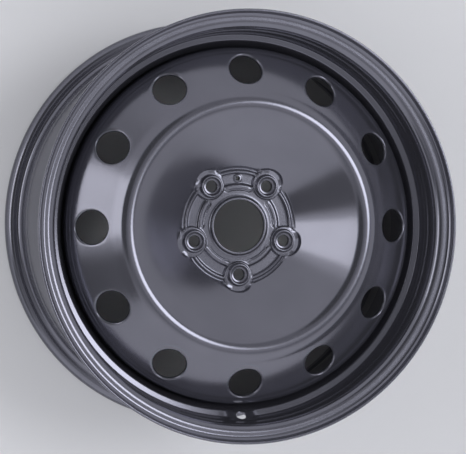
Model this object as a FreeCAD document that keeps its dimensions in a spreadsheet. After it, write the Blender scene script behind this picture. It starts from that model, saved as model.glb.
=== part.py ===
import FreeCAD, Part
import math
import os
import re
import Sketcher

# A pressed steel car wheel: a rolled rim, a pressed disc fitted inside it, and the weld beads between them.
# Millimetres. +Z is the spin axis, pointing to the street side; Z = 0 is the middle of the rim.

# Every driving dimension of the wheel, with what it measures.
DIMENSIONS = {
    "rim_width": (190.5, "between the two flange faces that the tyre bears on"),
    "bead_radius": (218.3, "bead seat radius at the flange face"),
    "flange_height": (17.3, "flange top above the bead seat"),
    "lip_reach": (11.1, "flange face to the edge of the lip"),
    "flange_roll": (9.0, "tyre-side radius of the rolled flange"),
    "bead_corner": (6.5, "corner radius between seat and flange"),
    "seat_angle": (5.0, "taper of the bead seat, degrees"),
    "seat_length": (18.0, "flange face to the foot of the hump"),
    "hump_length": (11.6, "hump from foot to foot"),
    "hump_height": (1.3, "hump above the end of the seat"),
    "well_slope": (34.5, "outboard wall of the well, degrees from the axis"),
    "well_depth": (18.0, "well below the bead radius"),
    "well_width": (37.7, "flat bottom of the well"),
    "well_round": (10.0, "tyre-side corner radius of the well"),
    "ramp_angle": (25.0, "inboard wall of the well, degrees from the axis"),
    "ledge_drop": (7.8, "top of the ramp below the bead radius"),
    "rim_wall": (2.8, "thickness of the rim"),
    "valve_inset": (37.1, "outboard flange face to the valve hole, on the tyre side"),
    "valve_radius": (5.65, "valve hole"),
    "valve_flat_radius": (12.0, "flat pressed around the valve hole"),
    "valve_flat_depth": (0.5, "depth of that flat at the valve hole"),
    "disc_wall": (4.2, "thickness of the disc"),
    "wheel_offset": (40.0, "mounting face from the middle of the rim"),
    "bore_radius": (29.05, "centre bore, turned after pressing"),
    "bore_stock": (1.55, "metal that turning takes off the pressed bore"),
    "collar_height": (10.5, "collar of the bore above the mounting face"),
    "collar_round": (3.3, "front radius at the foot of the collar"),
    "plateau_rise": (2.6, "ring inside the channel, above the channel floor"),
    "plateau_radius": (45.2, "outer edge of that ring"),
    "channel_step": (2.2, "radial run of the step into the channel"),
    "dish_radius": (61.6, "where the dish cone starts from the channel floor"),
    "dish_angle": (37.2, "dish cone, degrees from the wheel plane"),
    "crest_radius": (134.3, "corner between the dish cone and the vent cone"),
    "crest_round": (16.0, "front radius of the crest"),
    "vent_angle": (32.0, "vent cone, degrees from the wheel plane"),
    "shoulder_round": (15.0, "front radius between vent cone and skirt"),
    "fit_gap": (0.02, "radial gap between skirt and well"),
    "skirt_setback": (8.0, "free edge of the skirt from the end of the well"),
    "rib_radius": (60.0, "middle of the rib around the channel"),
    "rib_top": (2.2, "width of the rib's top"),
    "rib_foot": (4.6, "width of the rib's foot"),
    "rib_height": (3.4, "rib above the channel floor"),
    "trench_radius": (63.6, "middle of the trench outside the rib"),
    "trench_floor": (2.0, "width of the trench's floor"),
    "trench_mouth": (7.2, "width of the trench where it leaves the dish"),
    "trench_rise": (1.2, "trench floor above the channel floor"),
    "trench_height": (5.0, "height over which the trench opens out"),
    "stud_circle_radius": (54.0, "stud holes from the spin axis"),
    "stud_count": (5, "stud holes"),
    "stud_hole_radius": (6.5, "stud hole"),
    "seat_mouth": (10.2, "cone seat at the top of the boss"),
    "seat_foot": (8.6, "cone seat at its foot, where a ledge runs in to the stud hole"),
    "seat_half_angle": (30.0, "half angle of the cone seat, degrees"),
    "lobe_radius": (16.0, "platform around a stud hole"),
    "lobe_shift": (2.5, "middle of the platform outside the stud circle"),
    "lobe_flare": (1.5, "radial flare of the platform's walls"),
    "lobe_clearing": (8.0, "height cleared above the platform"),
    "platform_rise": (4.2, "platform above the channel floor"),
    "boss_foot": (13.0, "boss radius at the platform"),
    "boss_top": (11.6, "boss radius at its top"),
    "boss_rise": (5.0, "boss above the platform"),
    "root_depth": (0.6, "how far added forms reach into the sheet below"),
    "recess_mouth": (13.4, "recess behind a boss, at the mounting face"),
    "recess_top": (11.6, "recess behind a boss, at its end"),
    "locator_place": (52.6, "locating hole from the spin axis"),
    "locator_radius": (2.25, "locating hole"),
    "locator_ring": (5.0, "raised ring around the locating hole"),
    "locator_rise": (0.9, "that ring above the channel floor"),
    "vent_count": (12, "vents"),
    "vent_inset": (25.2, "vent centres inside the skirt"),
    "vent_radius": (18.2, "vent"),
    "vent_edge": (1.4, "broken front edge of a vent"),
    "weld_count": (6, "weld beads"),
    "weld_span": (42.0, "length of a bead, degrees"),
    "weld_leg": (3.8, "legs of a bead"),
    "weld_crown": (2.3, "place of the crown along each leg"),
    "cut_reach": (20.0, "how far a cutter runs past the sheet"),
}

# A bend is drawn as flats on its arc, with at most this turn in degrees to a flat: the wheel is large, and
# round bends would give it many times the facets.
TURN_PER_FLAT = 45

doc = FreeCAD.newDocument("steel_wheel")


def make_sheet():
    """Put every driving dimension in a spreadsheet cell with an alias."""
    sheet = doc.addObject("Spreadsheet::Sheet", "Dims")
    for row, (alias, (value, meaning)) in enumerate(DIMENSIONS.items(), start=1):
        sheet.set(f"A{row}", meaning)
        sheet.set(f"B{row}", str(value))
        sheet.setAlias(f"B{row}", alias)
    doc.recompute()
    return sheet


sheet = make_sheet()


def bound(expression):
    """Write the dimension names in an expression as cells of the sheet."""

    def cell(word):
        return f"Dims.{word[0]}" if word[0] in DIMENSIONS else word[0]

    return re.sub(r"[a-z_]+", cell, expression)


def value(expression):
    """The number that an expression of dimension names gives."""
    return float(sheet.evalExpression(bound(expression)))


def bind(thing, prop, expression):
    thing.setExpression(prop, bound(expression))


# Places that more than one piece uses, as expressions of the driving dimensions.
FLANGE_FACE = "rim_width / 2"
LIP_RADIUS = "( bead_radius + flange_height )"
SEAT_END = "( bead_radius - seat_length * tan( seat_angle ) )"
HUMP_END = "( rim_width / 2 - seat_length - hump_length )"
WELL_RADIUS = "( bead_radius - well_depth )"
LEDGE_RADIUS = "( bead_radius - ledge_drop )"
WELL_OUTBOARD = f"( {HUMP_END} - ( {SEAT_END} - {WELL_RADIUS} ) / tan( well_slope ) )"
WELL_INBOARD = f"( {WELL_OUTBOARD} - well_width )"
WELL_INSIDE = f"( {WELL_RADIUS} - rim_wall )"
SKIRT_RADIUS = f"( {WELL_INSIDE} - fit_gap )"
SKIRT_EDGE = f"( {WELL_INBOARD} + skirt_setback )"
FLOOR = "( wheel_offset + disc_wall )"
PLATFORM = f"( {FLOOR} + platform_rise )"
BOSS_TOP = f"( {PLATFORM} + boss_rise )"
CREST = f"( {FLOOR} + ( crest_radius - dish_radius ) * tan( dish_angle ) )"
SHOULDER = f"( {CREST} - ( {SKIRT_RADIUS} - crest_radius ) * tan( vent_angle ) )"
VENT_PLACE = f"( {SKIRT_RADIUS} - vent_inset )"


def unit(start, end):
    step = end - start
    return step / step.Length


def crossing(first, second):
    """Where two lines cross, each given by a point and a direction."""
    (p, d), (q, e) = first, second
    share = ((q.x - p.x) * e.y - (q.y - p.y) * e.x) / (d.x * e.y - d.y * e.x)
    return p + d * share


class Outline:
    """A closed outline of straight lines and bends in one sketch, with every size bound to the sheet.

    Corners are (x, y, radius) in dimension names, and a radius of None leaves a corner sharp. With a wall,
    the corners are one face of a bent sheet, and the other face runs parallel to it on its right-hand side.
    """

    def __init__(self, sketch, corners, wall=None):
        self.sketch = sketch
        self.constraints = []
        self.bindings = []
        self.corners = corners
        self.points = [FreeCAD.Vector(value(x), value(y), 0) for x, y, _ in corners]
        self.radii = [value(radius) if radius else 0 for _, _, radius in corners]
        self.radius_names = [radius for _, _, radius in corners]
        self.wall = wall
        self.given = len(corners)
        if wall:
            self.add_parallel_face()
        self.draw()

    def add_parallel_face(self):
        """Work out the corners of the sheet's other face, from its end back to its start."""
        thickness = value(self.wall)
        faces = []
        for start, end in zip(self.points, self.points[1:]):
            along = unit(start, end)
            right = FreeCAD.Vector(along.y, -along.x, 0)
            faces.append((start + right * thickness, along, right))
        inner = [self.points[0] + faces[0][2] * thickness]
        for before, after in zip(faces, faces[1:]):
            inner.append(crossing(before[:2], after[:2]))
        inner.append(self.points[-1] + faces[-1][2] * thickness)
        for index in reversed(range(self.given)):
            self.points.append(inner[index])
            radius = self.radius_names[index]
            if radius:
                turns_right = faces[index - 1][1].cross(faces[index][1]).z < 0
                radius = f"{radius} - {self.wall}" if turns_right else f"{radius} + {self.wall}"
            self.radius_names.append(radius)
            self.radii.append(value(radius) if radius else 0)

    def require(self, *terms, expression=None):
        """Note a constraint, and the expression that drives it."""
        if expression:
            self.bindings.append((len(self.constraints), expression))
            terms = terms + (value(expression),)
        self.constraints.append(Sketcher.Constraint(*terms))

    def place(self, geometry, vertex, corner):
        x, y, _ = self.corners[corner]
        for kind, expression in (("DistanceX", x), ("DistanceY", y)):
            if expression == "0":
                axis = -2 if kind == "DistanceX" else -1
                self.require("PointOnObject", geometry, vertex, axis)
            else:
                self.require(kind, -1, 1, geometry, vertex, expression=expression)

    def draw(self):
        count = len(self.points)
        reach = []
        for index, point in enumerate(self.points):
            before = unit(self.points[index - 1], point)
            after = unit(point, self.points[(index + 1) % count])
            half_turn = before.getAngle(after) / 2
            reach.append(self.radii[index] * math.tan(half_turn))
        shapes = []
        for index, point in enumerate(self.points):
            following = (index + 1) % count
            target = self.points[following]
            along = unit(point, target)
            shapes.append(Part.LineSegment(point + along * reach[index], target - along * reach[following]))
        self.sketch.addGeometry(shapes, False)
        for index in range(count):
            self.join_corner(index, reach[index])
        self.tie_parallel_face()
        self.sketch.addConstraint(self.constraints)
        for place, expression in self.bindings:
            bind(self.sketch, f"Constraints[{place}]", expression)

    def join_corner(self, index, reach):
        """Join the line that ends at a corner to the line that starts there, sharp or by flats on an arc."""
        count = len(self.points)
        arriving = (index - 1) % count
        if not self.radii[index]:
            self.require("Coincident", arriving, 2, index, 1)
            if index < self.given:
                self.place(index, 1, index)
            return
        point = self.points[index]
        before = unit(self.points[arriving], point)
        after = unit(point, self.points[(index + 1) % count])
        turns_left = before.cross(after).z > 0
        side = FreeCAD.Vector(-before.y, before.x, 0) * (1 if turns_left else -1)
        centre = point - before * reach + side * self.radii[index]
        first, last = (point - before * reach, point + after * reach)
        if not turns_left:
            first, last = last, first
        angles = [math.atan2(spot.y - centre.y, spot.x - centre.x) for spot in (first, last)]
        circle = Part.Circle(centre, FreeCAD.Vector(0, 0, 1), self.radii[index])
        arc = self.sketch.addGeometry(Part.ArcOfCircle(circle, *angles), True)
        self.require("Tangent", arriving, 2, arc, 1 if turns_left else 2)
        self.require("Tangent", index, 1, arc, 2 if turns_left else 1)
        self.require("Radius", arc, expression=self.radius_names[index])
        if index < self.given:
            corner = self.sketch.addGeometry(Part.Point(point), True)
            self.place(corner, 1, index)
            self.require("PointOnObject", corner, 1, arriving)
            self.require("PointOnObject", corner, 1, index)
        turn = before.getAngle(after) * (1 if turns_left else -1)
        self.add_flats(index, arc, centre, point - before * reach, turn)

    def add_flats(self, index, arc, centre, start, turn):
        """Draw a bend as equal flats with their ends on its arc, between the lines before and after it."""
        count = math.ceil(abs(math.degrees(turn)) / TURN_PER_FLAT)
        upright = FreeCAD.Vector(0, 0, 1)
        turns = [math.degrees(turn) * step / count for step in range(count + 1)]
        spots = [centre + FreeCAD.Rotation(upright, angle).multVec(start - centre) for angle in turns]
        flats = [self.sketch.addGeometry(Part.LineSegment(*ends), False) for ends in zip(spots, spots[1:])]
        self.require("Coincident", (index - 1) % len(self.points), 2, flats[0], 1)
        self.require("Coincident", flats[-1], 2, index, 1)
        for flat, following in zip(flats, flats[1:]):
            self.require("Coincident", flat, 2, following, 1)
            self.require("PointOnObject", flat, 2, arc)
            self.require("Equal", flat, following)

    def tie_parallel_face(self):
        if not self.wall:
            return
        last = 2 * self.given - 1
        for face in range(self.given - 1):
            other = last - 1 - face
            self.require("Parallel", face, other)
            self.require("Distance", other, 1, face, expression=self.wall)
        self.require("Perpendicular", self.given - 2, self.given - 1)
        self.require("Perpendicular", 0, last)


def new_body(label):
    body = doc.addObject("PartDesign::Body", label)
    body.Label = label
    body.Placement = FreeCAD.Placement()
    return body


def origin_feature(body, role):
    return next(feature for feature in body.Origin.OriginFeatures if feature.Role == role)


def section_sketch(body, name, place=("0", "0"), tilt=None):
    """A sketch in the wheel's YZ plane: x is away from the spin axis and y is along it.

    place moves the sketch's origin there, and tilt turns its y axis towards +x by that angle.
    """
    sketch = body.newObject("Sketcher::SketchObject", name)
    sketch.AttachmentSupport = [(origin_feature(body, "YZ_Plane"), "")]
    sketch.MapMode = "FlatFace"
    turn = FreeCAD.Rotation(FreeCAD.Vector(0, 0, -1), value(tilt) if tilt else 0)
    sketch.AttachmentOffset = FreeCAD.Placement(FreeCAD.Vector(value(place[0]), value(place[1]), 0), turn)
    for axis, expression in zip("xy", place):
        bind(sketch, f"AttachmentOffset.Base.{axis}", expression)
    if tilt:
        bind(sketch, "AttachmentOffset.Rotation.Angle", tilt)
    return sketch


def turned(body, name, corners, place=("0", "0"), tilt=None, cut=False, wall=None, span=None):
    """Turn an outline about the y axis of its own sketch, to add to the body or to cut from it."""
    sketch = section_sketch(body, f"{name}_section", place, tilt)
    Outline(sketch, corners, wall)
    feature = body.newObject("PartDesign::Groove" if cut else "PartDesign::Revolution", name)
    feature.Profile = sketch
    feature.ReferenceAxis = (sketch, ["V_Axis"])
    feature.Angle = 360
    if span:
        feature.Midplane = True
        bind(feature, "Angle", span)
    doc.recompute()
    return feature


def patterned(body, features, count):
    """Repeat features evenly around the spin axis."""
    pattern = body.newObject("PartDesign::PolarPattern", f"{features[0].Name}_ring")
    pattern.Originals = features
    pattern.Axis = (origin_feature(body, "Z_Axis"), [""])
    pattern.Angle = 360
    bind(pattern, "Occurrences", count)
    body.Tip = pattern
    doc.recompute()


def make_rim():
    """The rolled hoop: one sheet bent into flanges, seats, humps and a drop well, with the valve hole."""
    body = new_body("rim")
    hump_top = f"( {SEAT_END} + hump_height )"
    hump_middle = "( rim_width / 2 - seat_length - hump_length / 2 )"
    hump_foot = "( rim_width / 2 - seat_length )"
    ramp_top = f"( {WELL_INBOARD} - ( {LEDGE_RADIUS} - {WELL_RADIUS} ) / tan( ramp_angle ) )"
    tyre_side = [
        (LIP_RADIUS, f"{FLANGE_FACE} + lip_reach", None),
        (LIP_RADIUS, FLANGE_FACE, "flange_roll"),
        ("bead_radius", FLANGE_FACE, "bead_corner"),
        (SEAT_END, hump_foot, None),
        (hump_top, hump_middle, None),
        (SEAT_END, HUMP_END, None),
        (WELL_RADIUS, WELL_OUTBOARD, "well_round"),
        (WELL_RADIUS, WELL_INBOARD, "well_round"),
        (LEDGE_RADIUS, ramp_top, None),
        (SEAT_END, f"- {HUMP_END}", None),
        (hump_top, f"- {hump_middle}", None),
        (SEAT_END, f"- {hump_foot}", None),
        ("bead_radius", f"- {FLANGE_FACE}", "bead_corner"),
        (LIP_RADIUS, f"- {FLANGE_FACE}", "flange_roll"),
        (LIP_RADIUS, f"- {FLANGE_FACE} - lip_reach", None),
    ]
    turned(body, "hoop", tyre_side, wall="rim_wall")

    # The valve hole goes through the outboard wall of the well, square to it, at the bottom of the wheel.
    valve_outside = f"( {FLANGE_FACE} - valve_inset )"
    valve_outside_radius = f"( {SEAT_END} - ( {HUMP_END} - {valve_outside} ) * tan( well_slope ) )"
    place = (
        f"rim_wall * cos( well_slope ) - {valve_outside_radius}",
        f"{valve_outside} + rim_wall * sin( well_slope )",
    )
    tilt = "90 - well_slope"
    valve_flat = [
        ("0", "- valve_flat_depth", None),
        ("valve_flat_radius", "- valve_flat_depth", None),
        ("valve_flat_radius", "cut_reach", None),
        ("0", "cut_reach", None),
    ]
    turned(body, "valve_flat", valve_flat, place, tilt, cut=True)
    valve_hole = [
        ("0", "- cut_reach", None),
        ("valve_radius", "- cut_reach", None),
        ("valve_radius", "cut_reach", None),
        ("0", "cut_reach", None),
    ]
    turned(body, "valve_hole", valve_hole, place, tilt, cut=True)
    return body


def make_disc():
    """The pressed nave: hub zone, dish, crest, vent cone, shoulder and skirt from one sheet."""
    body = new_body("disc")
    front = [
        ("bore_radius - bore_stock + disc_wall", "wheel_offset + collar_height", None),
        ("bore_radius - bore_stock + disc_wall", f"{FLOOR} + plateau_rise", "collar_round"),
        ("plateau_radius", f"{FLOOR} + plateau_rise", None),
        ("plateau_radius + channel_step", FLOOR, None),
        ("dish_radius", FLOOR, None),
        ("crest_radius", CREST, "crest_round"),
        (SKIRT_RADIUS, SHOULDER, "shoulder_round"),
        (SKIRT_RADIUS, SKIRT_EDGE, None),
    ]
    turned(body, "pressing", front, wall="disc_wall")
    bore = [
        ("0", "wheel_offset - cut_reach", None),
        ("bore_radius", "wheel_offset - cut_reach", None),
        ("bore_radius", "wheel_offset + cut_reach", None),
        ("0", "wheel_offset + cut_reach", None),
    ]
    turned(body, "bore", bore, cut=True)
    add_channel_edge(body)
    add_stud_bosses(body)
    add_locating_hole(body)
    add_vents(body)
    return body


def add_channel_edge(body):
    """The rib that closes the channel, and the trench between that rib and the dish."""
    rib = [
        ("rib_radius - rib_foot / 2", f"{FLOOR} - root_depth", None),
        ("rib_radius + rib_foot / 2", f"{FLOOR} - root_depth", None),
        ("rib_radius + rib_top / 2", f"{FLOOR} + rib_height", None),
        ("rib_radius - rib_top / 2", f"{FLOOR} + rib_height", None),
    ]
    trench_mouth = f"{FLOOR} + trench_rise + trench_height"
    trench = [
        ("trench_radius - trench_floor / 2", f"{FLOOR} + trench_rise", None),
        ("trench_radius + trench_floor / 2", f"{FLOOR} + trench_rise", None),
        ("trench_radius + trench_mouth / 2", trench_mouth, None),
        ("trench_radius - trench_floor / 2", trench_mouth, None),
    ]
    turned(body, "trench", trench, cut=True)
    turned(body, "rib", rib)


def add_stud_bosses(body):
    """Five platforms that widen the hub zone into lobes, each with a boss, a cone seat and a stud hole."""
    lobe_place = ("- stud_circle_radius - lobe_shift", "0")
    clearing = [
        ("0", PLATFORM, None),
        ("lobe_radius", PLATFORM, None),
        ("lobe_radius + lobe_flare", f"{PLATFORM} + lobe_clearing", None),
        ("0", f"{PLATFORM} + lobe_clearing", None),
    ]
    clearing_cut = turned(body, "clearing", clearing, lobe_place, cut=True)
    patterned(body, [clearing_cut], "stud_count")
    platform = [
        ("0", f"{FLOOR} - root_depth", None),
        ("lobe_radius", f"{FLOOR} - root_depth", None),
        ("lobe_radius", PLATFORM, None),
        ("0", PLATFORM, None),
    ]
    platform_added = turned(body, "platform", platform, lobe_place)
    patterned(body, [platform_added], "stud_count")
    place = ("- stud_circle_radius", "0")
    boss = [
        ("0", f"{PLATFORM} - root_depth", None),
        ("boss_foot", f"{PLATFORM} - root_depth", None),
        ("boss_top", BOSS_TOP, None),
        ("0", BOSS_TOP, None),
    ]
    boss_added = turned(body, "boss", boss, place)
    patterned(body, [boss_added], "stud_count")
    ledge = f"{BOSS_TOP} - ( seat_mouth - seat_foot ) / tan( seat_half_angle )"
    recess_end = f"{PLATFORM} - disc_wall"
    seat = [
        ("0", "wheel_offset - cut_reach", None),
        ("recess_mouth", "wheel_offset - cut_reach", None),
        ("recess_mouth", "wheel_offset", None),
        ("recess_top", recess_end, None),
        ("stud_hole_radius", recess_end, None),
        ("stud_hole_radius", ledge, None),
        ("seat_foot", ledge, None),
        ("seat_mouth", BOSS_TOP, None),
        ("seat_mouth", f"{BOSS_TOP} + cut_reach", None),
        ("0", f"{BOSS_TOP} + cut_reach", None),
    ]
    seat_cut = turned(body, "seat", seat, place, cut=True)
    patterned(body, [seat_cut], "stud_count")


def add_locating_hole(body):
    """The small hole at the top of the channel, in a low raised ring."""
    place = ("locator_place", FLOOR)
    ring = [
        ("0", "- root_depth", None),
        ("locator_ring", "- root_depth", None),
        ("locator_ring", "locator_rise", None),
        ("0", "locator_rise", None),
    ]
    hole = [
        ("0", "- cut_reach", None),
        ("locator_radius", "- cut_reach", None),
        ("locator_radius", "cut_reach", None),
        ("0", "cut_reach", None),
    ]
    turned(body, "locator", ring, place)
    turned(body, "locator_hole", hole, place, cut=True)


def add_vents(body):
    """Round vents, punched square to the vent cone, with a broken front edge."""
    vent_height = f"{CREST} - ( {VENT_PLACE} - crest_radius ) * tan( vent_angle )"
    vent = [
        ("0", "- cut_reach", None),
        ("vent_radius", "- cut_reach", None),
        ("vent_radius", "- vent_edge", None),
        ("vent_radius + vent_edge + cut_reach", "cut_reach", None),
        ("0", "cut_reach", None),
    ]
    vent_cut = turned(body, "vent", vent, (VENT_PLACE, vent_height), "vent_angle", cut=True)
    patterned(body, [vent_cut], "vent_count")


def make_weld_beads():
    """Fillet welds on the back, between the free edge of the skirt and the inside of the well."""
    body = new_body("weld_beads")
    bead = [
        (WELL_INSIDE, SKIRT_EDGE, None),
        (f"{WELL_INSIDE} - weld_leg", SKIRT_EDGE, None),
        (f"{WELL_INSIDE} - weld_crown", f"{SKIRT_EDGE} - weld_crown", None),
        (WELL_INSIDE, f"{SKIRT_EDGE} - weld_leg", None),
    ]
    first = turned(body, "bead", bead, span="weld_span")
    patterned(body, [first], "weld_count")
    return body


def check_document():
    """Stop if any object failed to compute or any sketch is loose."""
    for thing in doc.Objects:
        if any(state in ("Invalid", "Error") for state in thing.State):
            raise RuntimeError(f"{thing.Name} failed: {thing.State}")
        if thing.isDerivedFrom("Sketcher::SketchObject") and not thing.FullyConstrained:
            raise RuntimeError(f"{thing.Name} is not fully constrained")


def write_parts(bodies):
    check_document()
    for body in bodies:
        if body.Shape.isNull() or not body.Shape.isValid():
            raise RuntimeError(f"{body.Label} has no valid shape")
    os.makedirs("parts", exist_ok=True)
    for body in bodies:
        body.Shape.exportStep(f"parts/{body.Label}.step")
        print(f"{body.Label}: {len(body.Shape.Solids)} solids, {body.Shape.Volume / 1000:.1f} cm3")


write_parts([make_rim(), make_disc(), make_weld_beads()])
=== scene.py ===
import math

import bmesh
import bpy
import numpy as np
from mathutils import Matrix, Vector


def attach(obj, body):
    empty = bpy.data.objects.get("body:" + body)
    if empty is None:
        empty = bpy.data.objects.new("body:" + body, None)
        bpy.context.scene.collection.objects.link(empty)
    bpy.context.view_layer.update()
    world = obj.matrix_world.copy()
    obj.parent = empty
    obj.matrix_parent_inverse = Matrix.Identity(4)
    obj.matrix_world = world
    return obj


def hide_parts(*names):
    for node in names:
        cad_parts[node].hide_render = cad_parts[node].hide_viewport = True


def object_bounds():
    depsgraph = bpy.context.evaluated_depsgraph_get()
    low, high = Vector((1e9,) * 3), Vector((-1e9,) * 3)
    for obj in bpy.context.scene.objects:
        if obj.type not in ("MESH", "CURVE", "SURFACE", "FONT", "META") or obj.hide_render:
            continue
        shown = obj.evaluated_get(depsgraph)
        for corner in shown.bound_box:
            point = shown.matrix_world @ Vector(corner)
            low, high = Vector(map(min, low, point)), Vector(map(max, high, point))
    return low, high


# A pressed steel car wheel, dressed for a studio picture. The wheel's sizes are in millimetres, as in its CAD
# model: the spin axis is Z, and Z = 0 is the middle of the rim. Everything else is in metres.
MM = 0.001

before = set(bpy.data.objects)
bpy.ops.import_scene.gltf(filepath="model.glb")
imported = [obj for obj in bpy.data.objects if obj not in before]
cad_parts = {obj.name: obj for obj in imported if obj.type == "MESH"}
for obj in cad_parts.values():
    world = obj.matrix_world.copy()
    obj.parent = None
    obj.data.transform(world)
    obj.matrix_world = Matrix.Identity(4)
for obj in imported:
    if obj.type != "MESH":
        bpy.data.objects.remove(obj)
cad_low, cad_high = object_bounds()

# The rim.
RIM_WIDTH = 190.5
BEAD_RADIUS = 218.3
FLANGE_HEIGHT = 17.3
LIP_REACH = 11.1
LIP_EDGE = 1.2
FLANGE_ROLL = 9.0
BEAD_CORNER = 6.5
SEAT_ANGLE = math.radians(5.0)
SEAT_LENGTH = 18.0
HUMP_LENGTH = 11.6
HUMP_HEIGHT = 1.3
HUMP_ROUND = 7.0
WELL_SLOPE = math.radians(34.5)
WELL_DEPTH = 18.0
WELL_WIDTH = 37.7
WELL_ROUND = 10.0
RAMP_ANGLE = math.radians(25.0)
LEDGE_DROP = 7.8
LEDGE_ROUND = 14.0
RIM_WALL = 2.8
VALVE_ANGLE = -math.pi / 2
VALVE_INSET = 37.1
VALVE_RADIUS = 5.65
VALVE_FLAT = 7.6
VALVE_EDGE = 0.5
VALVE_CLEAR = 1.2

FLANGE_FACE = RIM_WIDTH / 2
SEAT_END = BEAD_RADIUS - SEAT_LENGTH * math.tan(SEAT_ANGLE)
HUMP_FOOT = FLANGE_FACE - SEAT_LENGTH
HUMP_END = HUMP_FOOT - HUMP_LENGTH
WELL_RADIUS = BEAD_RADIUS - WELL_DEPTH
WELL_OUTBOARD = HUMP_END - (SEAT_END - WELL_RADIUS) / math.tan(WELL_SLOPE)
WELL_INBOARD = WELL_OUTBOARD - WELL_WIDTH
WELL_INSIDE = WELL_RADIUS - RIM_WALL

# The ledge in the front of the well's outboard wall: the radii between which the wall leaves its straight slope,
# the (radius, height) points between them, the reach over which its corners are rounded, and the angle in degrees
# that it stays off the valve hole.
LEDGE_REACH = (200.2, 213.4)
LEDGE_LINE = [(204.8, 54.6), (211.6, 56.2)]
LEDGE_BLUR = 0.7
LEDGE_CLEAR = 2.8

# The disc.
DISC_WALL = 4.2
WHEEL_OFFSET = 40.0
BORE_RADIUS = 29.05
BORE_EDGE = 0.7
COLLAR_RADIUS = 31.7
COLLAR_TOP = WHEEL_OFFSET + 10.5
COLLAR_EDGE = 0.9
COLLAR_ROUND = 3.3
FLOOR = WHEEL_OFFSET + DISC_WALL
PLATEAU = FLOOR + 2.6
PLATEAU_RADIUS = 45.2
CHANNEL_STEP = 2.2
HUB_START = 37.0
HUB_END = 76.6
DISH_RADIUS = 61.6
DISH_SLOPE = math.tan(math.radians(37.2))
CREST_RADIUS = 134.3
CREST_ROUND = 18.0
FLANK_END = 150.0
FLANK_ROUND = 40.0
SHOULDER_ROUND = 15.0
SKIRT_RADIUS = WELL_INSIDE - 0.02
SKIRT_END = WELL_INBOARD + 8.0
SKIRT_EDGE = 0.6
RIB_RADIUS = 60.0
RIB_TOP = 2.2
RIB_FOOT = 4.6
RIB_HEIGHT = 3.4
TRENCH_IN = 62.6
TRENCH_OUT = 64.6
TRENCH_RISE = 1.2
TRENCH_WALL = 65.5
GROOVE_RADIUS = 40.4
GROOVE_WIDTH = 1.6
GROOVE_DEPTH = 1.0
GROOVE_SPAN = math.radians(21)
HUB_BLUR = 0.7
BACK_BLUR = 2.0
STUDS = 5
STUD_CIRCLE = 54.0
STUD_HOLE = 6.5
LOBE_CIRCLE = 56.5
LOBE_RADIUS = 16.0
LOBE_WALL = 1.7
PLATFORM = FLOOR + 4.2
BOSS_TOP = PLATFORM + 5.0
BOSS_FOOT = 13.0
BOSS_APRON = 1.2
BOSS_RADIUS = 11.6
SEAT_MOUTH = 10.2
SEAT_FOOT = 8.6
SEAT_CONE = math.radians(30)
SEAT_LEDGE = BOSS_TOP - (SEAT_MOUTH - SEAT_FOOT) / math.tan(SEAT_CONE)
SEAT_ROUND = 0.5
RECESS_MOUTH = 13.4
RECESS_APRON = 0.8
RECESS_TOP = 11.6
LOCATOR_ANGLE = math.pi / 2
LOCATOR_CIRCLE = 52.6
LOCATOR_HOLE = 2.25
LOCATOR_RING = 5.0
LOCATOR_RISE = 0.9
VENTS = 12
VENT_CIRCLE = SKIRT_RADIUS - 25.2
VENT_RADIUS = 18.2
VENT_EDGE = 1.8
VENT_BACK_EDGE = 0.4
CREST = FLOOR + (CREST_RADIUS - DISH_RADIUS) * DISH_SLOPE
# The pressed sheet leaves the crest a little steeper than its vent zone. Both stay near the CAD model's single
# cone, and the vent zone meets it at the middle of the vents.
VENT_SLOPE = math.tan(math.radians(29.5))
SINGLE_CONE_SLOPE = math.tan(math.radians(32.0))
VENT_HEIGHT = CREST - (VENT_CIRCLE - CREST_RADIUS) * SINGLE_CONE_SLOPE

# The weld beads: their number and sizes, the share of the leg that is left at a bead's tips, the share that its
# ripples take, and the points along and around a bead.
BEADS = 6
BEAD_SPAN = math.radians(42)
BEAD_LEG = 3.8
BEAD_BULGE = 1.45
BEAD_TIP = 0.25
BEAD_RIPPLE = 0.06
BEAD_RIPPLES = 21
BEAD_COLUMNS = 84
BEAD_STEPS = 8

# Every ring of the meshes has this many columns, so that vents and studs fall on whole columns.
COLUMNS = 300
COLUMN = 2 * math.pi / COLUMNS
# The widest angle between two rows of a bend, and of a small bend at a stud.
BEND_STEP = math.radians(9)
SMALL_BEND_STEP = math.radians(30)
# Rows on the straight runs of the sections, and around the back of the bore.
WALL_ROWS = 40
DISH_ROWS = 2
VENT_ROWS = 12
SHOULDER_ROWS = 3
BORE_ROWS = 9
# The windows that are left open for finer patches: their half widths in columns, and where their rows are.
VALVE_HALF = 2
STUD_HALF = 17
LOCATOR_HALF = 6
VENT_HALF = 7
STUD_ROWS = (HUB_START + 0.5, HUB_END - 0.5)
LOCATOR_ROWS = (46.2, 59.2)
# Rows of the vent cone next to the crest that stay clear of the vents.
CLEAR_ROWS = 1
# Steps of the patches from a window's edge to the hole in it, and around a vent's rounded edge.
VALVE_STEPS = 2
STUD_STEPS = 4
LOCATOR_STEPS = 5
VENT_STEPS = 4
VENT_EDGE_STEPS = 6
# How near a row is to a surface that it lies on, how often a ring is moved onto a surface, and the samples of a
# blur.
ON_SURFACE = 0.001
SETTLE_STEPS = 6
BLUR_SAMPLES = 9
# Edges that turn by more than this are shaded sharp.
SHEET_SHARP = math.radians(40)
BEAD_SHARP = math.radians(50)


def unit(vector):
    return vector / np.linalg.norm(vector)


def rotated(vector, angle):
    cosine, sine = math.cos(angle), math.sin(angle)
    return np.array((cosine * vector[0] - sine * vector[1], sine * vector[0] + cosine * vector[1]))


def eased(share):
    """A share from 0 to 1, with soft ends."""
    return share * share * (3 - 2 * share)


def angle_between(angle, other):
    """The angle between two directions about the axis, the shorter way round."""
    return abs(np.angle(np.exp(1j * (angle - other))))


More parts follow.
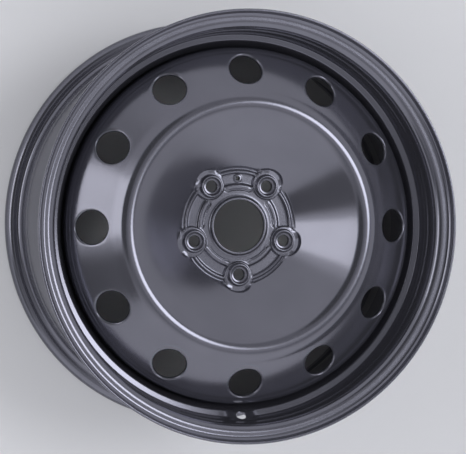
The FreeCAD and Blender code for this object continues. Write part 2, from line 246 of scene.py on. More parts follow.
def smoothed(radius, line, reach):
    """The height of a line of (radius, height) points, with its corners rounded over a reach to each side."""
    radii, heights = zip(*line)
    offsets = np.linspace(-reach, reach, BLUR_SAMPLES)
    return np.mean([np.interp(radius + offset, radii, heights) for offset in offsets], axis=0)


def bend(before, corner, after, radius, widest_step):
    """Points of a round bend at a corner of a profile, from one tangent point to the other."""
    arrive, leave = unit(corner - before), unit(after - corner)
    turn = math.atan2(arrive[0] * leave[1] - arrive[1] * leave[0], arrive @ leave)
    start = corner - arrive * radius * math.tan(abs(turn) / 2)
    spoke = rotated(arrive, -math.copysign(math.pi / 2, turn)) * radius
    steps = max(2, math.ceil(abs(turn) / widest_step))
    return [start - spoke + rotated(spoke, turn * step / steps) for step in range(steps + 1)]


def profile(corners, widest_step=BEND_STEP):
    """Points along corners of (radius from the axis, height, bend radius, rows on the run that follows)."""
    spots = [np.array(corner[:2], dtype=float) for corner in corners]
    runs = [[spots[0]]]
    for index in range(1, len(spots) - 1):
        radius = corners[index][2]
        runs.append(bend(*spots[index - 1:index + 2], radius, widest_step) if radius else [spots[index]])
    runs.append([spots[-1]])
    points = []
    for run, following, corner in zip(runs, runs[1:], corners):
        points += run
        rows = corner[3] if len(corner) > 3 else 0
        points += [run[-1] + (following[0] - run[-1]) * (row + 1) / (rows + 1) for row in range(rows)]
    return [tuple(point) for point in points + runs[-1]]


def parallel(corners, wall):
    """The corners of a sheet's other face, on the right-hand side of the corners given."""
    spots = [np.array(corner[:2], dtype=float) for corner in corners]
    ways = [unit(end - start) for start, end in zip(spots, spots[1:])]
    sides = [np.array((way[1], -way[0])) * wall for way in ways]
    other = [tuple(spots[0] + sides[0]) + tuple(corners[0][2:])]
    for index in range(1, len(spots) - 1):
        arrive, leave = ways[index - 1:index + 1]
        turn = math.atan2(arrive[0] * leave[1] - arrive[1] * leave[0], arrive @ leave)
        mitre = sides[index - 1] + arrive * wall * math.tan(turn / 2)
        radius = corners[index][2]
        if radius:
            radius += math.copysign(wall, turn)
        other.append(tuple(spots[index] + mitre) + (radius,) + tuple(corners[index][3:]))
    other.append(tuple(spots[-1] + sides[-1]) + tuple(corners[-1][2:]))
    return other


class Shell:
    """The points and faces of one closed piece, in millimetres."""

    def __init__(self):
        self.points = []
        self.faces = []

    def add(self, points):
        first = len(self.points)
        self.points.extend(map(tuple, points))
        return list(range(first, len(self.points)))

    def bridge(self, ring, other):
        for here, there in zip(range(-1, len(ring) - 1), range(len(ring))):
            self.faces.append((ring[here], ring[there], other[there], other[here]))

    def turn(self, rows, windows):
        """Turn a closed loop of rows about the axis, with the windows' cells left open, and return its rings."""
        rings = [self.add(ring_points(*row)) for row in rows]
        gaps = set()
        for window in windows:
            gaps |= window.cells()
        for row, ring in enumerate(rings):
            following = rings[(row + 1) % len(rings)]
            for column in range(COLUMNS):
                if (row, column) not in gaps:
                    other = (column + 1) % COLUMNS
                    self.faces.append((ring[column], ring[other], following[other], following[column]))
        return rings

    def fill(self, edge, rings, end):
        """Join one window's edge to another's, by rings of points through the sheet."""
        last = edge
        for points in rings:
            ring = self.add(points)
            self.bridge(last, ring)
            last = ring
        self.bridge(last, end)

    def at(self, indices):
        return np.array([self.points[index] for index in indices])


class Window:
    """Cells of a turned shell, between two rows and around a middle column, left open for a finer patch."""

    def __init__(self, rows, middle, half):
        self.rows = rows
        self.columns = range(middle - half, middle + half + 1)

    def cells(self):
        low, high = min(self.rows), max(self.rows)
        return {(row, column % COLUMNS) for row in range(low, high) for column in self.columns[:-1]}

    def edge(self, rings):
        """The points around the window, from the inner row's first column onwards."""
        first, last = self.columns[0] % COLUMNS, self.columns[-1] % COLUMNS
        around = [rings[self.rows[0]][column % COLUMNS] for column in self.columns]
        around += [rings[row][last] for row in self.rows[1:]]
        around += [rings[self.rows[-1]][column % COLUMNS] for column in self.columns[-2::-1]]
        around += [rings[row][first] for row in self.rows[-2:0:-1]]
        return around


def ring_points(radius, height):
    """One turned row. Its height is a number, or a function of x and y."""
    angles = np.arange(COLUMNS) * COLUMN
    x, y = radius * np.cos(angles), radius * np.sin(angles)
    z = height(x, y) if callable(height) else np.full(COLUMNS, height)
    return np.column_stack((x, y, z))


def between(start, end, steps, height):
    """Rings from one ring of points to another, both left out, laid on a surface of height over x and y."""
    rings = []
    for step in range(1, steps):
        points = start + (end - start) * step / steps
        points[:, 2] = height(points[:, 0], points[:, 1])
        rings.append(points)
    return rings


def rows_from(rows, low, high):
    """The numbers of the rows whose radius is in a range, by radius."""
    inside = [index for index, (radius, _) in enumerate(rows) if low <= radius <= high]
    return sorted(inside, key=lambda index: rows[index][0])


def rows_on(rows, surface):
    """The numbers of the rows that lie on a surface of height over x and y, by radius."""
    lying = [
        index for index, (radius, height) in enumerate(rows)
        if abs(height - surface(radius, 0)) < ON_SURFACE
    ]
    return sorted(lying, key=lambda index: rows[index][0])


def make_piece(name, shell, sharp_angle):
    """A smooth-shaded object of a shell, standing for the CAD node of the same name."""
    mesh = bpy.data.meshes.new(name)
    mesh.from_pydata([(x * MM, y * MM, z * MM) for x, y, z in shell.points], [], shell.faces)
    work = bmesh.new()
    work.from_mesh(mesh)
    loose = [vertex for vertex in work.verts if not vertex.link_faces]
    bmesh.ops.delete(work, geom=loose, context="VERTS")
    bmesh.ops.recalc_face_normals(work, faces=work.faces)
    work.to_mesh(mesh)
    work.free()
    mesh.shade_smooth()
    mesh.set_sharp_from_angle(angle=sharp_angle)
    piece = bpy.data.objects.new(f"{name}_painted", mesh)
    bpy.context.scene.collection.objects.link(piece)
    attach(piece, "root")
    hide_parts(name)
    return piece


class Hole:
    """A round hole through a sheet: its middle, two directions across it, and its axis to the front."""

    def __init__(self, middle, across, along):
        self.middle = np.array(middle)
        self.across = unit(np.array(across))
        self.along = unit(np.array(along))
        self.axis = np.cross(self.across, self.along)
        if self.axis[2] < 0:
            self.axis = -self.axis

    def directions(self, points):
        """The direction of each point around the hole, square to its axis."""
        away = points - self.middle
        angles = np.arctan2(away @ self.along, away @ self.across)
        return np.outer(np.cos(angles), self.across) + np.outer(np.sin(angles), self.along)

    def ring(self, directions, radius, height, depth=0.0):
        """A ring around the hole on a surface of height over x and y, moved down the axis by a depth."""
        points = self.middle + directions * radius
        for _ in range(SETTLE_STEPS):
            miss = height(points[:, 0], points[:, 1]) - points[:, 2]
            points = points + np.outer(miss * self.axis[2], self.axis)
        return points - self.axis * depth


def wall_outside(x, y):
    """The tyre side of the well's outboard wall, on its straight slope."""
    return HUMP_END - (SEAT_END - np.hypot(x, y)) / math.tan(WELL_SLOPE)


def wall_inside(x, y):
    """The other side of that wall, which is seen from the front."""
    return wall_outside(x, y) + RIM_WALL / math.sin(WELL_SLOPE)


def ledge_drop(radius):
    """How far the front of the well's wall is from its straight slope, at a radius."""
    low, high = LEDGE_REACH
    if not low <= radius <= high:
        return 0.0
    line = [(low, wall_inside(low, 0)), *LEDGE_LINE, (high, wall_inside(high, 0))]
    return float(smoothed(radius, line, LEDGE_BLUR) - wall_inside(radius, 0))


def with_ledge(radius, height, inset):
    """A row of the wall that follows the ledge, except close to the valve hole."""
    drop = ledge_drop(radius - inset)

    def height_at(x, y):
        from_valve = np.degrees(angle_between(np.arctan2(y, x), VALVE_ANGLE))
        return height + eased(np.clip((from_valve - LEDGE_CLEAR) / LEDGE_CLEAR, 0, 1)) * drop

    return radius, height_at


def rim_rows():
    """The loop of rows around the rim's section: the tyre side from the front, then the other side back to it."""
    well_bottom = WELL_INBOARD - (WELL_DEPTH - LEDGE_DROP) / math.tan(RAMP_ANGLE)
    hump_top = SEAT_END + HUMP_HEIGHT
    hump_middle = HUMP_FOOT - HUMP_LENGTH / 2
    lip = BEAD_RADIUS + FLANGE_HEIGHT
    tyre_side = [
        (lip, FLANGE_FACE + LIP_REACH, LIP_EDGE),
        (lip, FLANGE_FACE, FLANGE_ROLL),
        (BEAD_RADIUS, FLANGE_FACE, BEAD_CORNER),
        (SEAT_END, HUMP_FOOT, HUMP_ROUND),
        (hump_top, hump_middle, HUMP_ROUND),
        (SEAT_END, HUMP_END, HUMP_ROUND, WALL_ROWS),
        (WELL_RADIUS, WELL_OUTBOARD, WELL_ROUND),
        (WELL_RADIUS, WELL_INBOARD, WELL_ROUND),
        (BEAD_RADIUS - LEDGE_DROP, well_bottom, LEDGE_ROUND),
        (SEAT_END, -HUMP_END, HUMP_ROUND),
        (hump_top, -hump_middle, HUMP_ROUND),
        (SEAT_END, -HUMP_FOOT, HUMP_ROUND),
        (BEAD_RADIUS, -FLANGE_FACE, BEAD_CORNER),
        (lip, -FLANGE_FACE, FLANGE_ROLL),
        (lip, -FLANGE_FACE - LIP_REACH, LIP_EDGE),
    ]
    # Turned the other way round, the run after a corner is the run before it.
    inside = [corner[:3] for corner in parallel(tyre_side, RIM_WALL)]
    wall_end = next(index for index, corner in enumerate(tyre_side) if corner[1] == WELL_OUTBOARD)
    inside[wall_end] = inside[wall_end] + (WALL_ROWS,)
    loop = tyre_side + inside[::-1]
    middle_of_lip = ((loop[0][0] + loop[-1][0]) / 2, loop[0][1], 0)
    return profile([middle_of_lip] + loop + [middle_of_lip])[:-1]


def make_rim():
    """The rolled hoop, with round bends, a ledge in the well's wall, and the valve hole with its flat."""
    rows = rim_rows()
    half = len(rows) // 2
    valve_height = FLANGE_FACE - VALVE_INSET
    valve_circle = SEAT_END - (HUMP_END - valve_height) * math.tan(WELL_SLOPE)
    half_window = (VALVE_FLAT + VALVE_CLEAR) * math.cos(WELL_SLOPE)
    in_window = [
        index for index, (_, height) in enumerate(rows)
        if abs(height - valve_height - RIM_WALL / 4) < half_window
    ]
    outer = sorted((index for index in in_window if index < half), reverse=True)
    inner = sorted(index for index in in_window if index > half)
    count = min(len(outer), len(inner))
    valve_column = COLUMNS * 3 // 4
    windows = [Window(found[:count], valve_column, VALVE_HALF) for found in (outer, inner)]

    shift = RIM_WALL * math.cos(WELL_SLOPE)
    for index, (radius, height) in enumerate(rows):
        if WELL_OUTBOARD < height < HUMP_END + RIM_WALL and radius < SEAT_END:
            rows[index] = with_ledge(radius, height, shift if index < half else 0)

    shell = Shell()
    rings = shell.turn(rows, windows)
    front_edge, back_edge = [window.edge(rings) for window in windows]
    front, back = shell.at(front_edge), shell.at(back_edge)
    hole = Hole((0, -valve_circle, valve_height), (1, 0, 0), (0, math.tan(WELL_SLOPE), -1))
    around = hole.directions(front)
    first = hole.ring(around, VALVE_FLAT, wall_outside)
    last = hole.ring(around, VALVE_FLAT, wall_inside)
    through = between(front, first, VALVE_STEPS, wall_outside) + [
        first,
        hole.ring(around, VALVE_RADIUS + VALVE_EDGE, wall_outside),
        hole.ring(around, VALVE_RADIUS, wall_outside, -VALVE_EDGE),
        hole.ring(around, VALVE_RADIUS, wall_inside, VALVE_EDGE),
        hole.ring(around, VALVE_RADIUS + VALVE_EDGE, wall_inside),
        last,
    ] + between(last, back, VALVE_STEPS, wall_inside)
    shell.fill(front_edge, through, back_edge)
    return make_piece("rim", shell, SHEET_SHARP)


def dish_height(radius):
    return FLOOR + (radius - DISH_RADIUS) * DISH_SLOPE


def stud_angles():
    return -math.pi / 2 + np.arange(STUDS) * 2 * math.pi / STUDS


def hub_front(x, y):
    """The front of the hub zone: ring, grooves, channel, rib, trench, dish, and a platform at each stud."""
    radius = np.hypot(x, y)
    angle = np.arctan2(y, x)
    line = [
        (0, PLATEAU),
        (PLATEAU_RADIUS, PLATEAU),
        (PLATEAU_RADIUS + CHANNEL_STEP, FLOOR),
        (RIB_RADIUS - RIB_FOOT / 2, FLOOR),
        (RIB_RADIUS - RIB_TOP / 2, FLOOR + RIB_HEIGHT),
        (RIB_RADIUS + RIB_TOP / 2, FLOOR + RIB_HEIGHT),
        (TRENCH_IN, FLOOR + TRENCH_RISE),
        (TRENCH_OUT, FLOOR + TRENCH_RISE),
        (TRENCH_WALL, dish_height(TRENCH_WALL)),
        (CREST_RADIUS, CREST),
    ]
    height = smoothed(radius, line, HUB_BLUR)
    gaps = stud_angles() + math.pi / STUDS
    from_gap = np.min([angle_between(angle, gap) for gap in gaps], axis=0)
    in_span = np.clip((GROOVE_SPAN - from_gap) * STUD_CIRCLE / GROOVE_WIDTH, 0, 1)
    across = np.clip(1 - abs(radius - GROOVE_RADIUS) / GROOVE_WIDTH, 0, 1)
    height = height - GROOVE_DEPTH * in_span * eased(across)
    lobes = [(LOBE_CIRCLE * math.cos(stud), LOBE_CIRCLE * math.sin(stud)) for stud in stud_angles()]
    from_lobe = np.min([np.hypot(x - lobe_x, y - lobe_y) for lobe_x, lobe_y in lobes], axis=0)
    inside = eased(np.clip((LOBE_RADIUS + LOBE_WALL - from_lobe) / LOBE_WALL, 0, 1))
    return height + (PLATFORM - height) * inside


def hub_back(x, y):
    """The back of the hub zone: ring, mounting pads and the start of the dish."""
    half_step = DISC_WALL * math.tan(math.atan2(FLOOR - PLATEAU, CHANNEL_STEP) / 2)
    half_dish = DISC_WALL * math.tan(math.atan(DISH_SLOPE) / 2)
    line = [
        (0, PLATEAU - DISC_WALL),
        (PLATEAU_RADIUS + half_step, PLATEAU - DISC_WALL),
        (PLATEAU_RADIUS + CHANNEL_STEP + half_step, WHEEL_OFFSET),
        (DISH_RADIUS + half_dish, WHEEL_OFFSET),
        (CREST_RADIUS, WHEEL_OFFSET + (CREST_RADIUS - DISH_RADIUS - half_dish) * DISH_SLOPE),
    ]
    return smoothed(np.hypot(x, y), line, BACK_BLUR)


def vent_front(x, y):
    return VENT_HEIGHT - (np.hypot(x, y) - VENT_CIRCLE) * VENT_SLOPE


def vent_back(x, y):
    return vent_front(x, y) - DISC_WALL * math.hypot(1, VENT_SLOPE)


def hub_radii():
    """The rows of the hub zone: close where the sheet bends, and further apart on its flats."""
    flats = [HUB_START, 38.0, 44.0, 48.6, 50.2, 52.0, 53.8, 55.4, 56.8]
    flats += [67.4, 68.6, 70.2, 72.2, 74.4, HUB_END]
    groove = list(np.arange(38.6, 42.3, 0.3))
    step = list(np.arange(44.5, 48.2, 0.5))
    rib = list(np.arange(57.1, 67.0, 0.6))
    return sorted(flats + groove + step + rib)


def disc_rows():
    """The loop of rows around the disc's section: front from the bore to the skirt, then back to the bore."""
    collar = profile([
        (BORE_RADIUS, COLLAR_TOP - 2 * BORE_EDGE, 0),
        (BORE_RADIUS, COLLAR_TOP, BORE_EDGE),
        (COLLAR_RADIUS, COLLAR_TOP, COLLAR_EDGE),
        (COLLAR_RADIUS, PLATEAU, COLLAR_ROUND),
        (HUB_START, PLATEAU, 0),
    ])[:-1]
    front = [
        (HUB_END, dish_height(HUB_END), 0, DISH_ROWS),
        (CREST_RADIUS, CREST, CREST_ROUND),
        (FLANK_END, vent_front(FLANK_END, 0), FLANK_ROUND, VENT_ROWS),
        (SKIRT_RADIUS, vent_front(SKIRT_RADIUS, 0), SHOULDER_ROUND, SHOULDER_ROWS),
        (SKIRT_RADIUS, SKIRT_END, SKIRT_EDGE),
    ]
    back = parallel(front, DISC_WALL)
    middle_of_edge = (SKIRT_RADIUS - DISC_WALL / 2, SKIRT_END, 0)
    back_end = (HUB_END, float(hub_back(HUB_END, 0)), 0)
    # Turned the other way round, the vent rows follow the shoulder, and the dish rows follow the crest.
    back_rows = [corner[:3] for corner in back[1:]][::-1] + [back_end]
    back_rows[1] = back_rows[1] + (VENT_ROWS,)
    back_rows[3] = back_rows[3] + (DISH_ROWS,)
    outer = profile(front + [middle_of_edge])[1:]
    inner = profile([middle_of_edge] + back_rows)[1:-1]
    bore_round = COLLAR_ROUND + DISC_WALL
    round_middle = np.array((COLLAR_RADIUS - DISC_WALL + bore_round, PLATEAU - DISC_WALL + bore_round))
    end = math.acos((round_middle[0] - BORE_RADIUS) / bore_round)
    bore_back = [
        tuple(round_middle - bore_round * np.array((math.cos(angle), math.sin(angle))))
        for angle in np.linspace(math.pi / 2, end, BORE_ROWS)
    ]
    hub_forward = [(radius, hub_front) for radius in hub_radii()]
    hub_return = [(radius, hub_back) for radius in hub_radii()[::-1]]
    return collar, hub_forward, outer, inner, hub_return, bore_back


def make_disc():
    """The pressed disc: hub zone with bosses and locating hole, dish, crest and vents, with rounded edges."""
    parts = disc_rows()
    _, hub_forward, outer, inner, hub_return, _ = parts
    starts = np.cumsum([0] + [len(part) for part in parts])
    _, hub_forward_start, outer_start, inner_start, hub_return_start = starts[:5]
    rows = [row for part in parts for row in part]

    def window_pair(picked, middle, half):
        return [Window([int(row + start) for row in found], middle, half) for start, found in picked]

    def hub_pair(reach, middle, half):
        picked = [
            (hub_forward_start, rows_from(hub_forward, *reach)),
            (hub_return_start, rows_from(hub_return, *reach)),
        ]
        return window_pair(picked, middle, half)

    stud_pairs = []
    for stud in range(STUDS):
        column = COLUMNS * 3 // 4 + stud * COLUMNS // STUDS
        stud_pairs.append(hub_pair(STUD_ROWS, column, STUD_HALF))
    locator_pair = hub_pair(LOCATOR_ROWS, COLUMNS // 4, LOCATOR_HALF)
    on_vent_cone = [
        (outer_start, rows_on(outer, vent_front)[CLEAR_ROWS:]),
        (inner_start, rows_on(inner, vent_back)[CLEAR_ROWS:]),
    ]
    vent_pairs = [window_pair(on_vent_cone, vent * COLUMNS // VENTS, VENT_HALF) for vent in range(VENTS)]

    shell = Shell()
    windows = [window for pair in stud_pairs + [locator_pair] + vent_pairs for window in pair]
    rings = shell.turn(rows, windows)
    for angle, pair in zip(stud_angles(), stud_pairs):
        add_stud(shell, angle, *[window.edge(rings) for window in pair])
    add_locator(shell, *[window.edge(rings) for window in locator_pair])
    for vent, pair in enumerate(vent_pairs):
        add_vent(shell, vent * 2 * math.pi / VENTS, *[window.edge(rings) for window in pair])
    return make_piece("disc", shell, SHEET_SHARP)


def flat_ring(angle, circle, directions, radius, height):
    """A ring of points around a spot on a circle about the axis. Its height is as for a turned row."""
    points = np.array((circle * math.cos(angle), circle * math.sin(angle), 0)) + directions * radius
    points[:, 2] = height(points[:, 0], points[:, 1]) if callable(height) else height
    return points


def around_spot(angle, circle, points):
    """The level direction of each point from a spot on a circle about the axis."""
    away = points - np.array((circle * math.cos(angle), circle * math.sin(angle), 0))
    away[:, 2] = 0
    return away / np.linalg.norm(away, axis=1)[:, None]


def add_stud(shell, angle, front_edge, back_edge):
    """A platform, a boss with a cone seat, the stud hole and the recess behind it."""
    front, back = shell.at(front_edge), shell.at(back_edge)
    lobe_way = around_spot(angle, LOBE_CIRCLE, front)
    way = around_spot(angle, STUD_CIRCLE, front)
    lobe = flat_ring(angle, LOBE_CIRCLE, lobe_way, LOBE_RADIUS + LOBE_WALL, hub_front)
    rings = between(front, lobe, STUD_STEPS, hub_front) + [lobe]
    for share in (0.8, 0.6, 0.4, 0.2, 0.0):
        rings.append(flat_ring(angle, LOBE_CIRCLE, lobe_way, LOBE_RADIUS + LOBE_WALL * share, hub_front))
    section = profile([
        (BOSS_FOOT + BOSS_APRON, PLATFORM, 0),
        (BOSS_FOOT, PLATFORM, 2 * SEAT_ROUND),
        (BOSS_RADIUS, BOSS_TOP, SEAT_ROUND),
        (SEAT_MOUTH, BOSS_TOP, SEAT_ROUND),
        (SEAT_FOOT, SEAT_LEDGE, SEAT_ROUND),
        (STUD_HOLE, SEAT_LEDGE, SEAT_ROUND),
        (STUD_HOLE, FLOOR, 0),
        (RECESS_TOP, FLOOR, SEAT_ROUND),
        (RECESS_MOUTH, WHEEL_OFFSET, SEAT_ROUND),
        (RECESS_MOUTH + RECESS_APRON, WHEEL_OFFSET, 0),
    ], SMALL_BEND_STEP)
    rings += [flat_ring(angle, STUD_CIRCLE, way, radius, height) for radius, height in section]
    rings += between(rings[-1], back, STUD_STEPS, hub_back)
    shell.fill(front_edge, rings, back_edge)


def add_locator(shell, front_edge, back_edge):
    """The small locating hole in its low raised ring, with its edges broken."""
    front, back = shell.at(front_edge), shell.at(back_edge)
    way = around_spot(LOCATOR_ANGLE, LOCATOR_CIRCLE, front)
    foot = flat_ring(LOCATOR_ANGLE, LOCATOR_CIRCLE, way, LOCATOR_RING + 0.3, hub_front)
    section = [
        (LOCATOR_RING - 0.1, FLOOR + 0.15),
        (LOCATOR_RING - 0.4, FLOOR + LOCATOR_RISE - 0.2),
        (LOCATOR_RING - 0.8, FLOOR + LOCATOR_RISE),
        (LOCATOR_HOLE + 0.4, FLOOR + LOCATOR_RISE),
        (LOCATOR_HOLE, FLOOR + LOCATOR_RISE - 0.4),
        (LOCATOR_HOLE, WHEEL_OFFSET + 0.3),
        (LOCATOR_HOLE + 0.3, WHEEL_OFFSET),
    ]
    rings = between(front, foot, LOCATOR_STEPS, hub_front) + [foot]
    rings += [flat_ring(LOCATOR_ANGLE, LOCATOR_CIRCLE, way, radius, height) for radius, height in section]
    rings += between(rings[-1], back, LOCATOR_STEPS, hub_back)
    shell.fill(front_edge, rings, back_edge)


def add_vent(shell, angle, front_edge, back_edge):
    """A round vent, square to its cone, with a rounded front edge."""
    front, back = shell.at(front_edge), shell.at(back_edge)
    outward = np.array((math.cos(angle), math.sin(angle), 0))
    sideways = np.array((-math.sin(angle), math.cos(angle), 0))
    middle = outward * VENT_CIRCLE
    middle[2] = vent_front(VENT_CIRCLE, 0)
    hole = Hole(middle, sideways, outward - np.array((0, 0, VENT_SLOPE)))
    around = hole.directions(front)
    start = hole.ring(around, VENT_RADIUS + VENT_EDGE, vent_front)
    rings = between(front, start, VENT_STEPS, vent_front) + [start]
    for step in range(1, VENT_EDGE_STEPS + 1):
        turn = math.pi / 2 * step / VENT_EDGE_STEPS
        radius = VENT_RADIUS + VENT_EDGE * (1 - math.sin(turn))
        rings.append(hole.ring(around, radius, vent_front, VENT_EDGE * (1 - math.cos(turn))))
    rings.append(hole.ring(around, VENT_RADIUS, vent_back, -VENT_BACK_EDGE))
    rings.append(hole.ring(around, VENT_RADIUS + VENT_BACK_EDGE, vent_back))
    rings += between(rings[-1], back, VENT_STEPS, vent_back)
    shell.fill(front_edge, rings, back_edge)


def make_weld_beads():
    """Fillet welds between the skirt's edge and the well, with an arc's ripples and tapered ends."""
    shell = Shell()
    for bead in range(BEADS):
        middle = math.pi / 2 + bead * 2 * math.pi / BEADS
        rings = []
        for share in np.linspace(0, 1, BEAD_COLUMNS):
            angle = middle + (share - 0.5) * BEAD_SPAN
            end = min(share, 1 - share) * BEAD_SPAN * SKIRT_RADIUS / BEAD_LEG
            leg = BEAD_LEG * (BEAD_TIP + (1 - BEAD_TIP) * math.sqrt(min(1, end)))
            leg *= 1 - BEAD_RIPPLE + BEAD_RIPPLE * abs(math.cos(math.pi * BEAD_RIPPLES * share + bead))
            section = [(WELL_INSIDE, SKIRT_END)]
            for turn in np.linspace(0, math.pi / 2, BEAD_STEPS):
                in_reach, down_reach = math.cos(turn) ** BEAD_BULGE, math.sin(turn) ** BEAD_BULGE
                section.append((WELL_INSIDE - leg * in_reach, SKIRT_END - leg * down_reach))
            rings.append(shell.add([(r * math.cos(angle), r * math.sin(angle), z) for r, z in section]))
        for ring, following in zip(rings, rings[1:]):
            shell.bridge(ring, following)
        shell.faces += [tuple(rings[0]), tuple(rings[-1])]
    return make_piece("weld_beads", shell, BEAD_SHARP)


# The paint: its colour from one end of its range to the other, its roughness, and its orange peel.
PAINT_DARK = (0.146, 0.146, 0.174, 1)
PAINT_LIGHT = (0.160, 0.160, 0.190, 1)
PAINT_RANGE = (0.3, 0.7)
PAINT_ROUGHNESS = (0.12, 0.17)
PAINT_METALLIC = 0.75
PAINT_IOR = 1.5
CLOUD_SCALE, CLOUD_DETAIL = 22, 4
PEEL_SCALE, PEEL_DETAIL = 420, 2
PEEL_STRENGTH = 0.04
PEEL_DEPTH = 0.0004

# The studio's floor.
GROUND_REACH = 12.0
GROUND_DARK = (0.78, 0.78, 0.79, 1)
GROUND_LIGHT = (0.82, 0.82, 0.83, 1)
GROUND_ROUGHNESS = 0.7
GROUND_SCALE, GROUND_DETAIL = 3, 2


class Surface:
    """A node material in the making, laid through its object's own space."""

    def __init__(self, name):
        self.material = bpy.data.materials.new(name)
        self.material.use_nodes = True
        self.nodes, self.links = self.material.node_tree.nodes, self.material.node_tree.links
        self.shader = self.nodes["Principled BSDF"]
        self.place = self.nodes.new("ShaderNodeTexCoord")

    def noise(self, scale, detail):
        texture = self.nodes.new("ShaderNodeTexNoise")
        texture.inputs["Scale"].default_value = scale
        texture.inputs["Detail"].default_value = detail
        self.links.new(self.place.outputs["Object"], texture.inputs["Vector"])
        return texture.outputs["Fac"]

    def colour_by(self, value, colours, positions=(0, 1)):
        """Give the shader a colour that follows a value from one colour to another."""
        ramp = self.nodes.new("ShaderNodeValToRGB")
        for element, colour, position in zip(ramp.color_ramp.elements, colours, positions):
            element.position = position
            element.color = colour
        self.links.new(value, ramp.inputs["Fac"])
        self.links.new(ramp.outputs["Color"], self.shader.inputs["Base Color"])


def paint_material():
    """Dark grey satin gloss paint over sheet steel, with a faint orange peel."""
    surface = Surface("dark_grey_paint")
    nodes, links, shader = surface.nodes, surface.links, surface.shader
    shader.inputs["Metallic"].default_value = PAINT_METALLIC
    shader.inputs["IOR"].default_value = PAINT_IOR
    cloud = surface.noise(CLOUD_SCALE, CLOUD_DETAIL)
    surface.colour_by(cloud, (PAINT_DARK, PAINT_LIGHT), PAINT_RANGE)

    gloss = nodes.new("ShaderNodeMapRange")
    gloss.inputs["To Min"].default_value, gloss.inputs["To Max"].default_value = PAINT_ROUGHNESS
    links.new(cloud, gloss.inputs["Value"])
    links.new(gloss.outputs["Result"], shader.inputs["Roughness"])

    bump = nodes.new("ShaderNodeBump")
    bump.inputs["Strength"].default_value = PEEL_STRENGTH
    bump.inputs["Distance"].default_value = PEEL_DEPTH
    links.new(surface.noise(PEEL_SCALE, PEEL_DETAIL), bump.inputs["Height"])
    links.new(bump.outputs["Normal"], shader.inputs["Normal"])
    return surface.material


def make_floor():
    """A pale studio floor under the wheel."""
    reach, height = GROUND_REACH, cad_low.z
    mesh = bpy.data.meshes.new("floor")
    corners = [(-reach, -reach, height), (reach, -reach, height), (reach, reach, height), (-reach, reach, height)]
    mesh.from_pydata(corners, [], [(0, 1, 2, 3)])
    floor = bpy.data.objects.new("floor", mesh)
    bpy.context.scene.collection.objects.link(floor)
    surface = Surface("pale_floor")
    surface.shader.inputs["Roughness"].default_value = GROUND_ROUGHNESS
    surface.colour_by(surface.noise(GROUND_SCALE, GROUND_DETAIL), (GROUND_DARK, GROUND_LIGHT))
    floor.data.materials.append(surface.material)


def toward(azimuth, elevation):
    """The direction to a spot of the studio, from its angles in degrees."""
    turn, rise = math.radians(azimuth), math.radians(elevation)
    return Vector((math.cos(turn) * math.cos(rise), math.sin(turn) * math.cos(rise), math.sin(rise)))


# The studio's walls are brighter up to where the ceiling starts, in degrees of elevation. Soft areas of it differ:
# direction, half width in degrees to the start and to the end of the soft edge, and level. Later ones lie on top.
STUDIO_TINT = (0.94, 0.95, 1.0, 1)
WALL_LEVEL = 0.85
CEILING_LEVEL = 0.45
CEILING_START, CEILING_END = 38, 50
STUDIO_PATCHES = [
    (toward(270, 20), 30, 55, 1.1),
    (toward(208, 34), 9, 16, 0.22),
    (toward(125, 58), 13, 20, 0.08),
    (toward(168, 64), 14, 20, 0.06),
    (toward(158, 35), 5, 15, 1.5),
    (toward(180, 36), 5, 15, 1.5),
    (toward(-25, 75), 7, 16, 0.8),
    (toward(14, 61), 7, 13, 6.4),
]
WINDOW_PLACE = toward(170, 36) * 2.5
WINDOW_SIZE = (1.2, 0.8)
WINDOW_POWER = 5.5


def add_window():
    """A rectangular lamp that faces the wheel."""
    lamp = bpy.data.lights.new("window", "AREA")
    lamp.shape = "RECTANGLE"
    lamp.size, lamp.size_y = WINDOW_SIZE
    lamp.energy = WINDOW_POWER
    holder = bpy.data.objects.new("window", lamp)
    holder.location = WINDOW_PLACE
    holder.rotation_mode = "QUATERNION"
    holder.rotation_quaternion = (-WINDOW_PLACE).to_track_quat("-Z", "Y")
    bpy.context.scene.collection.objects.link(holder)


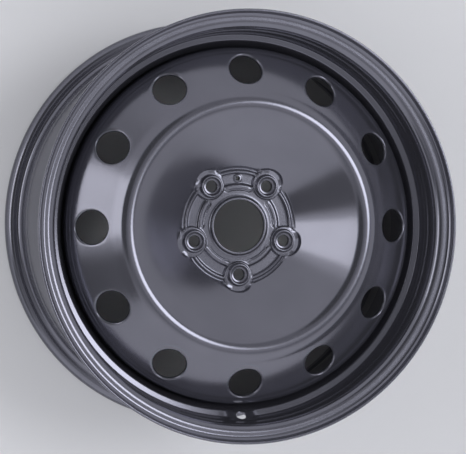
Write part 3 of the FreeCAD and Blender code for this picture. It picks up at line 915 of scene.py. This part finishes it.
def make_light():
    """A studio with pale walls, one ceiling lamp and darker areas, and a window at one side."""
    add_window()
    world = bpy.data.worlds.new("studio")
    bpy.context.scene.world = world
    world.use_nodes = True
    nodes, links = world.node_tree.nodes, world.node_tree.links
    backdrop = nodes["Background"]
    backdrop.inputs["Color"].default_value = STUDIO_TINT
    place = nodes.new("ShaderNodeTexCoord")

    def step_of(direction, inner, outer, low, high):
        """A soft step of level from far away from a direction to close by it."""
        facing = nodes.new("ShaderNodeVectorMath")
        facing.operation = "DOT_PRODUCT"
        facing.inputs[1].default_value = direction
        links.new(place.outputs["Generated"], facing.inputs[0])
        edge = nodes.new("ShaderNodeMapRange")
        edge.interpolation_type = "SMOOTHSTEP"
        edge.inputs["From Min"].default_value = math.cos(math.radians(outer))
        edge.inputs["From Max"].default_value = math.cos(math.radians(inner))
        edge.inputs["To Min"].default_value = low
        edge.inputs["To Max"].default_value = high
        links.new(facing.outputs["Value"], edge.inputs["Value"])
        return edge.outputs["Result"]

    level = step_of(toward(0, 90), 90 - CEILING_END, 90 - CEILING_START, WALL_LEVEL, CEILING_LEVEL)
    for direction, inner, outer, brightness in STUDIO_PATCHES:
        blend = nodes.new("ShaderNodeMix")
        links.new(step_of(direction, inner, outer, 0, 1), blend.inputs["Factor"])
        links.new(level, blend.inputs["A"])
        blend.inputs["B"].default_value = brightness
        level = blend.outputs["Result"]
    links.new(level, backdrop.inputs["Strength"])


# The camera, as the photograph was taken: its place, the spot at the middle of the picture, and the upward
# direction.
CAMERA_PLACE = Vector((-0.6017, 0.0551, 2.1065))
CAMERA_AIM = Vector((0.0075, -0.0026, 0.0))
CAMERA_UP = Vector((-0.0017, 1.0, 0.0))
SENSOR_WIDTH = 36.0
FOCAL_LENGTH = 149.47


def make_camera():
    data = bpy.data.cameras.new("camera")
    data.sensor_fit = "HORIZONTAL"
    data.sensor_width = SENSOR_WIDTH
    data.lens = FOCAL_LENGTH
    camera = bpy.data.objects.new("camera", data)
    back = (CAMERA_PLACE - CAMERA_AIM).normalized()
    right = CAMERA_UP.cross(back).normalized()
    up = back.cross(right)
    turn = Matrix((right, up, back)).transposed()
    camera.matrix_world = Matrix.Translation(CAMERA_PLACE) @ turn.to_4x4()
    bpy.context.scene.collection.objects.link(camera)
    bpy.context.scene.camera = camera


paint = paint_material()
for piece in (make_rim(), make_disc(), make_weld_beads()):
    piece.data.materials.append(paint)
make_floor()
make_light()
make_camera()
bpy.context.scene.view_settings.view_transform = "Standard"
